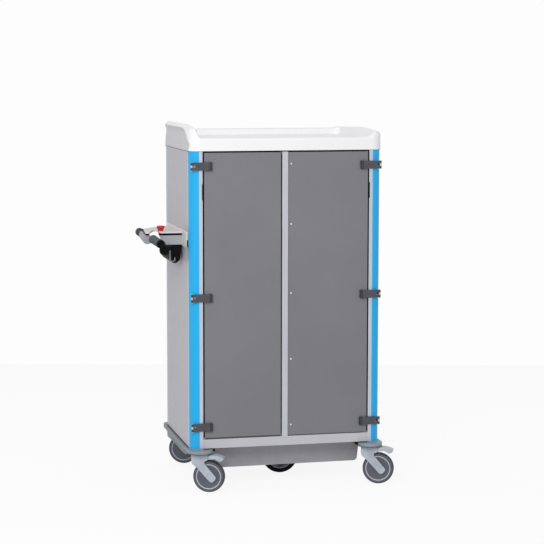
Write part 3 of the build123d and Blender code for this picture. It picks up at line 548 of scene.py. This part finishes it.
def tray_column(point, inward):
    """The tray's section at a point of its outline, from the underside up the face and in to the floor."""
    face, crest, inner, left, right = rim_heights(*point)
    rim = 24 + 12 * left + 6 * right
    column = []

    def add(inset, z):
        column.append(at(point[0] + inward[0] * inset, point[1] + inward[1] * inset, z))

    # Underside and lower edge
    add(14, TRAY_UNDERSIDE)
    add(3.2, 1374)
    add(3.2, TRAY_FACE_START)
    add(2.4, TRAY_BOTTOM)
    add(0.9, TRAY_BOTTOM)
    # Side face
    for t in FACE_STOPS:
        z = blend(TRAY_FACE_START, face, t)
        add(cove(z, face, left), z)
    add(0, face)
    # Outer round, up to the crest. On the left it starts at an angle
    crest_inset = rim * (0.42 + 0.1 * left)
    start = math.radians(38) * left
    crest_steps = 8
    for i in range(1, crest_steps):
        a = start + (math.pi / 2 - start) * i / crest_steps
        across = (math.cos(start) - math.cos(a)) / math.cos(start)
        rise = (math.sin(a) - math.sin(start)) / (1 - math.sin(start))
        add(crest_inset * across, blend(face, crest, rise))
    add(crest_inset, crest)
    # Inner edge, then the fillet down to the floor
    edge = 5.0
    drop = min(edge, max(1.0, (inner - TRAY_FLOOR) * 0.5))
    add((crest_inset + rim - edge) / 2, blend(crest, inner, 0.35))
    quarter = [math.pi / 2 * i / 5 for i in range(6)]
    for a in quarter:
        add(rim - edge + edge * math.sin(a), inner - drop * (1 - math.cos(a)))
    fillet = min(6.0, max(0.8, (inner - drop - TRAY_FLOOR) * 0.6))
    for a in quarter:
        add(rim + fillet * 0.2 + fillet * (1 - math.cos(a)), TRAY_FLOOR + fillet * (1 - math.sin(a)))
    return column


bm = bmesh.new()
lofted(bm, [list(ring) for ring in zip(*(tray_column(*place) for place in tray_outline()))])
tray = finish_piece(new_object("tray_shell", bm, 24), "cart_body", "tray_white", ["top_tray"])

# Painted shade: the left side face takes a darker grey finish for the shade it is seen in, though the tray
# is white all over
tray.data.materials.append(materials["tray_side"])
for polygon in tray.data.polygons:
    x, y, z = from_corner(polygon.center)
    if x < 8 and y > 22 and z < rim_heights(x, y)[0] + 0.5:
        polygon.material_index = 1


# Moulded and pressed pieces with rounded edges

def narrow_wing(x, y, z):
    """The wing of the cover narrows to the rear and ends before the bar's end cap."""
    x += 15 * smooth(-x, 125, 150) * smooth(y, 154, 335)
    y -= 40 * smooth(-x, 96, 128) * smooth(y, 190, 335)
    return x, y, z


def between(value, stops):
    """Straight lines between (value, result) stops, which run upwards."""
    for (low, start), (high, end) in zip(stops, stops[1:]):
        if value <= high:
            return blend(start, end, max(0.0, (value - low) / (high - low)))
    return stops[-1][1]


def upright_housing(x, y, z):
    """The housing's right side drops straight down, and its left side is cut back low down."""
    front_face, middle_x = 149.5, -41
    if y < front_face:
        return x, y, z
    if x > middle_x:
        return x + between(z, ((892, 3), (905, 8), (940, -2), (965, -3))), y, z
    across = between(z, ((892, 12), (905, 7), (965, 7)))
    return x + across, y, z + between(z, ((892, 0), (905, 6), (940, 0)))


def deep_pan(x, y, z):
    """The pan reaches a little lower, most at the left."""
    return x, y, z - (5.0 - 4.0 * x / WIDTH) * smooth(-z, -100, -88)


def short_lever(x, y, z):
    """The lever's finger part is shorter below its pin."""
    pin_z = 945
    return x, y, z if z > pin_z else pin_z - 0.62 * (pin_z - z)


def tapered_bar(x, y, z):
    """The bar gets slimmer to the rear, and its stubs end inside the grips."""
    rear = unit((y - 165) / 221)
    outer = max(0.0, (-140 - x) / 17)
    low = max(0.0, (987 - z) / 19)
    x += 14 * rear * outer
    z += 12 * rear * low
    front_tip, rear_tip = 75, 491
    if front_tip <= y <= rear_tip:
        return x, y, z
    return x - 3.4, y + (15.6 if y < front_tip else -15.6), z + 2.4


def dark_edge(board, x0, x1, z0, z1):
    """The board is painted dark round its edge, outside a rectangle in millimetres: painted shade along
    the door's border.
    """
    board.data.materials.append(materials["board_edge"])
    bm = bmesh.new()
    bm.from_mesh(board.data)
    low, high = at(x0, 0, z0), at(x1, 0, z1)
    for way in ((1, 0, 0), (0, 0, 1)):
        for spot in (low, high):
            geometry = bm.verts[:] + bm.edges[:] + bm.faces[:]
            bmesh.ops.bisect_plane(bm, geom=geometry, dist=1e-7, plane_co=spot, plane_no=way)
    for face in bm.faces:
        middle = face.calc_center_median()
        if not (low.x < middle.x < high.x and low.z < middle.z < high.z):
            face.material_index = 1
    bm.to_mesh(board.data)
    bm.free()


def second_finish(piece, material, zone):
    """A second material on the faces whose distance from the body's left outer face is in the zone."""
    piece.data.materials.append(materials[material])
    for polygon in piece.data.polygons:
        if zone(polygon.center.x * 1000 - SHIFT_X):
            polygon.material_index = 1


# Where the four casters' stems stand
STEMS = {"front_left": (39, 8), "front_right": (731, 8), "rear_left": (39, 558), "rear_right": (731, 558)}

for corner in STEMS:
    softened(f"fork_{corner}", "caster_grey", 1.6)
    softened(f"brake_pedal_{corner}", "caster_grey", 1.0)
for node in ("left_hinge_straps", "right_hinge_straps"):
    # The ends of the straps are darker, at the pins and at the door screws
    straps = softened(node, "strap_grey", 0.8, 2)
    second_finish(straps, "strap_dark", lambda x: not 8 <= min(x, WIDTH - x) <= 76)
# The console's flange plate is paler than its box
second_finish(softened("handle_console", "console_grey", 1.2), "cover_grey", lambda x: x > -4.6)
softened("console_cover", "cover_grey", 1.6, shape=narrow_wing)
softened("control_housing", "plastic_black", 2.5, shape=upright_housing)
softened("cable_hook", "hook_grey", 1.6)
softened("hand_lever", "plastic_black", 2.0, shape=short_lever)
softened("handle_bar", "bar_grey", 2.0, shape=tapered_bar)
softened("underfloor_pan", "pan_grey", 1.2, shape=deep_pan)
softened("chassis", "chassis_grey", 1.2)
# The doors get a painted shade round their edges
dark_edge(softened("left_door", "door_grey", 0.7, 2), 56.4, 362.1, 213.8, 1333.4)
dark_edge(softened("right_door", "door_grey", 0.7, 2), 369.8, 714.4, 212.2, 1333.4)


def turned_piece(name, profile, start, axis, body, finishes, slot, replaces=(), sharp=32, **how):
    """A piece turned from a profile. How goes on to turn(), whose band picks among the finishes."""
    bm = bmesh.new()
    turn(bm, profile, start, axis, **how)
    piece = new_object(name, bm, sharp)
    finish_piece(piece, body, finishes[0], replaces)
    for extra in finishes[1:]:
        piece.data.materials.append(materials[extra])


# Caster wheels: a dished wheel with a raised bright ring, and a soft tyre with rounded shoulders

# From a caster's stem to the middle of its wheel, and the way of its axle
TRAIL = Vector((0.9304, -0.3665, 0)) * 35.5
AXLE = (0.3665, 0.9304, 0)
WHEEL_RADIUS = 62.5

wheel_profile = both_sides([
    (15.2, 5.06), (15.2, 11.6), (14.9, 12.5), (14.2, 13.0), (13.2, 13.4), (12.6, 14.6), (12.3, 17),
    (12.2, 22), (12.3, 32), (12.6, 38), (13.1, 43), (13.4, 45.4), (13.6, 46.3), (14.3, 46.7),
    (14.8, 47.3), (15.0, 48.0), (15.0, 49.3), (14.6, 49.98),
])
tyre_profile = both_sides([
    (14.4, 50.0), (15.2, 50.4), (15.8, 52.0), (16.0, 54.4), (15.7, 56.6), (14.9, 58.8), (13.4, 60.6),
    (11.4, 61.8), (8.6, 62.35), (5.0, WHEEL_RADIUS), (1.0, WHEEL_RADIUS), (0.7, 62.2), (0.25, 62.1),
])
for corner, (stem_x, stem_y) in STEMS.items():
    centre = (stem_x + TRAIL.x, stem_y + TRAIL.y, WHEEL_RADIUS)
    turned_piece(
        f"wheel_{corner}.turned", wheel_profile, centre, AXLE, f"wheel_{corner}",
        ["wheel_grey", "wheel_ring"], "wheel_grey", [f"wheel_{corner}"],
        band=lambda way, radius: int(radius > 46.4),
    )
    turned_piece(
        f"tyre_{corner}.turned", tyre_profile, centre, AXLE, f"wheel_{corner}",
        ["tyre_grey", "tyre_tread"], "tyre_grey", [f"tyre_{corner}"],
        band=lambda way, radius: int(radius > 58.9),
    )


# Driven wheel: a closed dished web with a paler rim, and a black tyre with three grooves

DRIVE_RADIUS = 75
DRIVE_CENTRE = (425, 283, DRIVE_RADIUS)
ACROSS = (0, 1, 0)

drive_tyre_profile = both_sides([
    (14.2, 58.0), (14.9, 58.6), (15.0, 61.0), (15.0, 69.4), (14.6, 71.6), (13.2, 73.6), (11.2, 74.7),
    (8.6, DRIVE_RADIUS), (8.2, DRIVE_RADIUS), (7.9, 73.4), (6.7, 73.4), (6.4, DRIVE_RADIUS),
    (1.0, DRIVE_RADIUS), (0.7, 73.4), (0.1, 73.4),
])
drive_wheel_profile = both_sides([
    (16.5, 6.06), (16.5, 28.8), (15.7, 30.0), (9.0, 31.5), (7.4, 34.0), (6.6, 42.0), (7.2, 47.5),
    (9.0, 50.0), (13.4, 51.6), (14.0, 52.6), (14.0, 57.2), (13.4, 57.96),
])
turned_piece(
    "drive_wheel.turned", drive_wheel_profile, DRIVE_CENTRE, ACROSS, "drive_wheel",
    ["plastic_black", "rim_grey"], "wheel_grey", ["drive_wheel"], segments=120,
    band=lambda way, radius: int(radius > 49),
)
turned_piece(
    "drive_tyre.turned", drive_tyre_profile, DRIVE_CENTRE, ACROSS, "drive_wheel",
    ["tyre_black"], "tyre_black", ["drive_tyre"], segments=120,
)


# Handle grips: ribbed sleeves between two flared collars, closed at the end

def grip_profile():
    """The bore from its end to the open root, then the outside to the closed tip."""
    length = 92
    ribs, ribs_start, ribs_length = 15, 12, 70
    points = [
        (length - 6, 0), (length - 6, 10.02), (0.2, 10.02), (0.2, 15.0), (1.0, 16.4), (2.4, 17.2),
        (4.0, 17.5), (8.2, 17.5), (9.4, 17.2), (10.4, 16.4), (11.4, 15.7),
    ]
    for i in range(ribs * 6 + 1):
        way = ribs_start + ribs_length * i / (ribs * 6)
        wave = abs(math.sin(math.pi * ribs * (way - ribs_start) / ribs_length))
        points.append((way, 15.8 + wave ** 0.6))
    return points + [
        (83.0, 16.0), (83.8, 16.6), (84.8, 17.0), (89.6, 17.0), (91.0, 16.4), (91.8, 15.2),
        (length, 13.6), (length, 7.0), (length - 0.8, 5.6), (length - 0.8, 0),
    ]


for end, side in (("front", 1), ("rear", -1)):
    root = (-121, 283 - side * 133, 989)
    tip = (-99, 283 - side * 235, 973)
    turned_piece(
        f"grip_{end}", grip_profile(), root, Vector(tip) - Vector(root), "cart_body",
        ["grip_dark", "rubber_black"], "plastic_black", ["handle_grips"] if end == "front" else (),
        segments=64, band=lambda way, radius: int(way > 81), sharp=50,
    )


# Stop button: a domed mushroom head with shallow finger scallops

BUTTON_X, BUTTON_Y = -82, 195
UP = (0, 0, 1)

head_profile = [
    (-18.4, 0), (-18.4, 3.4), (1.4, 3.4), (1.4, 12.8), (-4.4, 12.8), (-4.4, 13.4), (-0.2, 13.4),
    (0.0, 14.6), (0.6, 15.3), (2.0, 16.2), (6.4, 17.2), (8.4, 16.6), (9.6, 14.6), (10.2, 11.0),
    (10.6, 7.0), (10.9, 3.6), (11.0, 0),
]
turned_piece(
    "stop_button.turned", head_profile, (BUTTON_X, BUTTON_Y, 1027), UP, "stop_button", ["button_red"],
    "button_red", ["stop_button"], lobes=(6, 1.6), sharp=40,
)


# Dark sleeve over the rear end of the handle bar

cap_profile = [
    (0, 0), (0, 11.5), (0.6, 13.6), (2.0, 15.4), (4.4, 16.4), (12, 16.5), (12.6, 15.9), (14.6, 15.9),
    (15.2, 16.5), (36, 16.5), (40, 15.8), (43, 13.6), (45.2, 10.0), (46, 5.0), (46, 0),
]
turned_piece(
    "bar_end_cap", cap_profile, (-138, 343, 997.5), ACROSS, "cart_body", ["strap_dark"], "rubber_black",
    segments=72, sharp=40,
)


# Ring round the stop button's stem, which stays still when the button is pressed

ring_profile = [(0, 4.0), (0, 10.2), (0.4, 10.6), (5.0, 10.6), (5.3, 10.3), (5.3, 4.0)]
turned_piece(
    "button_ring", ring_profile, (BUTTON_X, BUTTON_Y, 1017), UP, "cart_body", ["button_red"], "button_red",
    segments=72, sharp=40,
)


# Drive spring: a wound wire with closed ends

def build_spring(x, y, low, high):
    """A spring with a turn wound close at each end, between two heights."""
    coil, wire, turns = 7.6, 1.4, 8.0
    steps_per_turn, wire_sides = 28, 10
    closed = 1.0 / turns
    closed_rise = 0.45
    up = Vector((0, 0, 1))
    bm = bmesh.new()
    count = int(turns * steps_per_turn)
    rings = []
    for i in range(count + 1):
        t = i / count
        if t < closed:
            lift = t * closed_rise
        elif t > 1 - closed:
            lift = 1 - (1 - t) * closed_rise
        else:
            open_part = (t - closed) / (1 - 2 * closed)
            lift = closed * closed_rise + open_part * (1 - 2 * closed * closed_rise)
        z = low + wire + (high - low - 2 * wire) * lift
        a = math.tau * turns * t
        middle = at(x + coil * math.cos(a), y + coil * math.sin(a), z)
        outward = Vector((math.cos(a), math.sin(a), 0))
        ring = []
        for k in range(wire_sides):
            b = math.tau * k / wire_sides
            ring.append(middle + (outward * math.cos(b) + up * math.sin(b)) * wire / 1000)
        rings.append(ring)
    lofted(bm, rings)
    return new_object("drive_spring.wound", bm, 60)


spring = finish_piece(build_spring(356.04, 283, 129.4, 168), "cart_body", "steel", ["drive_spring"])
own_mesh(spring)


# Thin black strips in the gaps

def bar_of(bm, low, high, round_off):
    """A bar between two corners in millimetres, with rounded long edges."""
    start = at(*low)
    size = at(*high) - start
    matrix = Matrix.Translation(start + size / 2) @ Matrix.Diagonal((*size, 1))
    made = bmesh.ops.create_cube(bm, size=1, matrix=matrix)
    edges = {e for v in made["verts"] for e in v.link_edges}
    bmesh.ops.bevel(bm, geom=list(edges), offset=round_off / 1000, segments=3, profile=0.5, affect="EDGES")


def black_trim(name, bm):
    finish_piece(new_object(name, bm, 30), "cart_body", "rubber_black")


# Beside and above the doors: a black filler in each gap with a narrow lip in front, painted shade that
# makes the gap lines dark, and two stop pads

strip_low, strip_high = 214, 1339.6
bm = bmesh.new()
bar_of(bm, (50.5, 0.2, strip_low), (53.4, 11, strip_high), 0.5)
bar_of(bm, (50.2, -0.8, strip_low), (53.4, 0.6, strip_high), 0.5)
bar_of(bm, (716.7, 0.4, strip_low), (719.5, 11, strip_high), 0.5)
bar_of(bm, (717.0, -0.8, strip_low), (719.8, 0.6, strip_high), 0.5)
for low_x, high_x in ((48.0, 54.0), (716.2, 722.2)):
    bar_of(bm, (low_x, -2.4, 1150), (high_x, -0.2, 1212), 0.6)
bar_of(bm, (54, 0.4, strip_high - 3), (716, 11, strip_high), 0.5)
black_trim("door_gap_shade_and_pads", bm)


# Under the tray's lower edge, at the sides and the back: a black strip, painted shade for the shadow line
# under the tray

strip_low, strip_high = 1337.8, 1340.1
bm = bmesh.new()
bar_of(bm, (-0.7, 22, strip_low), (0.8, 546, strip_high), 0.3)
bar_of(bm, (WIDTH - 0.8, 22, strip_low), (WIDTH + 0.7, 546, strip_high), 0.3)
bar_of(bm, (22, 565.2, strip_low), (WIDTH - 22, 566.7, strip_high), 0.3)
black_trim("tray_shadow_line", bm)


# A small black mark on the body in front of the console's flange plate

bm = bmesh.new()
bar_of(bm, (-3.4, 43, 964), (0.2, 49, 992), 0.8)
black_trim("flange_black_mark", bm)


# A black strip between the console and its cover, and a black pad under the cover's wing

def inset_outline(points, distance):
    """An outline moved inwards in the plane; its points run clockwise seen from above."""
    moved = []
    for before, here, after in zip(points[-1:] + points[:-1], points, points[1:] + points[:1]):
        first = (Vector(here) - Vector(before)).normalized()
        second = (Vector(after) - Vector(here)).normalized()
        first_in = Vector((first.y, -first.x))
        second_in = Vector((second.y, -second.x))
        bisector = (first_in + second_in).normalized()
        moved.append(Vector(here) + bisector * distance / max(0.3, bisector.dot(first_in)))
    return moved


console_outline = [
    (-1, 150), (-80, 150), (-90, 160), (-90, 196), (-60, 236), (-32, 262), (-32, 410), (-1, 410),
]
bm = bmesh.new()
outer = inset_outline(console_outline, -0.7)
inner = inset_outline(console_outline, 2.0)
rings = []
for outline, z in ((inner, 1008.05), (outer, 1002.5), (outer, 1010.4), (inner, 1010.95), (inner, 1008.05)):
    rings.append([at(p.x, p.y, z) for p in outline])
lofted(bm, rings, capped=False)
bmesh.ops.remove_doubles(bm, verts=bm.verts, dist=1e-6)
pad = [(-133, 158), (-148, 158), (-146, 225), (-136, 288), (-126, 288)]
lofted(bm, [[at(x, y, z) for x, y in pad] for z in (1004.2, 1010.9)])
black_trim("cover_black_strips", bm)


# Black strips between the chassis and the body, the same at the left and at the right: painted shade for
# the shadow gap under the sill

shadow_low, shadow_high = 168.2, 171.8
bm = bmesh.new()
for mirrored in (False, True):
    for low, high in (
        ((51, 1.5, shadow_low), (97, 24, shadow_high)),
        ((89.8, 1.5, 159), (97, 24, shadow_high)),
        ((-0.5, 38, shadow_low), (8, 528, shadow_high)),
        ((51, 542, shadow_low), (97, 564.5, shadow_high)),
    ):
        x0, x1 = (WIDTH - high[0], WIDTH - low[0]) if mirrored else (low[0], high[0])
        bar_of(bm, (x0, *low[1:]), (x1, *high[1:]), 0.5)
black_trim("chassis_shadow_strips", bm)


# Camera, as fitted to the body's edges in the photograph

camera_data = bpy.data.cameras.new("camera")
camera = bpy.data.objects.new("camera", camera_data)
bpy.context.scene.collection.objects.link(camera)
camera_data.sensor_width = 36
camera_data.lens = 124.390
camera_data.clip_end = 50
camera.location = (-1.665789, -7.416151, 1.693825)
camera.rotation_euler = (math.radians(83.537723), math.radians(-0.058402), math.radians(-13.067016))
bpy.context.scene.camera = camera


# Floor, lights and background

def seen_directly(tree):
    """A factor of 1 for rays from the camera, from mirrors and through glass."""
    path = tree.nodes.new("ShaderNodeLightPath")
    total = path.outputs["Is Camera Ray"]
    for name in ("Is Glossy Ray", "Is Transmission Ray"):
        either = tree.nodes.new("ShaderNodeMath")
        either.operation = "MAXIMUM"
        tree.links.new(total, either.inputs[0])
        tree.links.new(path.outputs[name], either.inputs[1])
        total = either.outputs[0]
    return total


# Where the floor meets the backdrop, in metres along the view, and how bright the backdrop is
BACKDROP = 2.76
OFF_WHITE = 0.982


def white_floor():
    """White when it is seen, plain pale grey in the light that it sends back, and it keeps the shadow.

    Behind the cart it turns the even off-white of the backdrop, as the photograph's ground does.
    """
    material = bpy.data.materials.new("floor_white")
    material.use_nodes = True
    tree = material.node_tree
    tree.nodes.remove(tree.nodes["Principled BSDF"])
    place = tree.nodes.new("ShaderNodeTexCoord").outputs["Object"]
    away = tree.nodes.new("ShaderNodeVectorMath")
    away.operation = "DOT_PRODUCT"
    away.inputs[1].default_value = (0.2261, 0.9741, 0)
    tree.links.new(place, away.inputs[0])

    # In front: a glow that is nearly white, and a little diffuse that takes the shadow
    near = tree.nodes.new("ShaderNodeEmission")
    glow = map_range(tree, away.outputs["Value"], 0.9, BACKDROP, 0.896, 0.888)
    tree.links.new(glow, near.inputs["Strength"])
    shadow = tree.nodes.new("ShaderNodeBsdfDiffuse")
    cloud = tree.nodes.new("ShaderNodeTexNoise")
    cloud.inputs["Scale"].default_value = 0.8
    tree.links.new(place, cloud.inputs["Vector"])
    tree.links.new(map_range(tree, cloud.outputs["Fac"], 0, 1, 0.090, 0.098), shadow.inputs["Color"])
    front = tree.nodes.new("ShaderNodeAddShader")
    tree.links.new(near.outputs[0], front.inputs[0])
    tree.links.new(shadow.outputs[0], front.inputs[1])

    # Behind, over a short step: the backdrop's even off-white
    far = tree.nodes.new("ShaderNodeEmission")
    far.inputs["Strength"].default_value = OFF_WHITE
    shown = tree.nodes.new("ShaderNodeMixShader")
    step = map_range(tree, away.outputs["Value"], BACKDROP - 0.02, BACKDROP + 0.02)
    tree.links.new(step, shown.inputs["Fac"])
    tree.links.new(front.outputs[0], shown.inputs[1])
    tree.links.new(far.outputs[0], shown.inputs[2])

    # What the floor sends back to the cart
    plain = tree.nodes.new("ShaderNodeBsdfDiffuse")
    plain.inputs["Color"].default_value = (0.78, 0.78, 0.785, 1)
    mix = tree.nodes.new("ShaderNodeMixShader")
    tree.links.new(seen_directly(tree), mix.inputs["Fac"])
    tree.links.new(plain.outputs[0], mix.inputs[1])
    tree.links.new(shown.outputs[0], mix.inputs[2])
    tree.links.new(mix.outputs[0], tree.nodes["Material Output"].inputs["Surface"])
    return material


bm = bmesh.new()
bmesh.ops.create_grid(bm, x_segments=1, y_segments=1, size=300)
floor = new_object("floor", bm)
floor.data.materials.append(white_floor())


def softbox(name, place, target, width, height, power):
    data = bpy.data.lights.new(name, "AREA")
    data.shape = "RECTANGLE"
    data.size = width
    data.size_y = height
    data.energy = power
    light = bpy.data.objects.new(name, data)
    bpy.context.scene.collection.objects.link(light)
    light.location = place
    light.rotation_euler = (Vector(target) - Vector(place)).to_track_quat("-Z", "Y").to_euler()


softbox("key", (-1.9, -4.0, 3.0), (0.0, 0.0, 0.85), 2.6, 2.2, 102)

world = bpy.data.worlds.new("studio")
bpy.context.scene.world = world
world.use_nodes = True
tree = world.node_tree
background = tree.nodes["Background"]
background.inputs["Color"].default_value = (0.62, 0.62, 0.625, 1)
background.inputs["Strength"].default_value = 1.0
seen = tree.nodes.new("ShaderNodeBackground")
seen.inputs["Color"].default_value = (OFF_WHITE, OFF_WHITE, OFF_WHITE, 1)
mix = tree.nodes.new("ShaderNodeMixShader")
tree.links.new(seen_directly(tree), mix.inputs["Fac"])
tree.links.new(background.outputs[0], mix.inputs[1])
tree.links.new(seen.outputs[0], mix.inputs[2])
tree.links.new(mix.outputs[0], tree.nodes["World Output"].inputs["Surface"])

bpy.context.scene.view_settings.view_transform = "Standard"

bpy.context.view_layer.update()
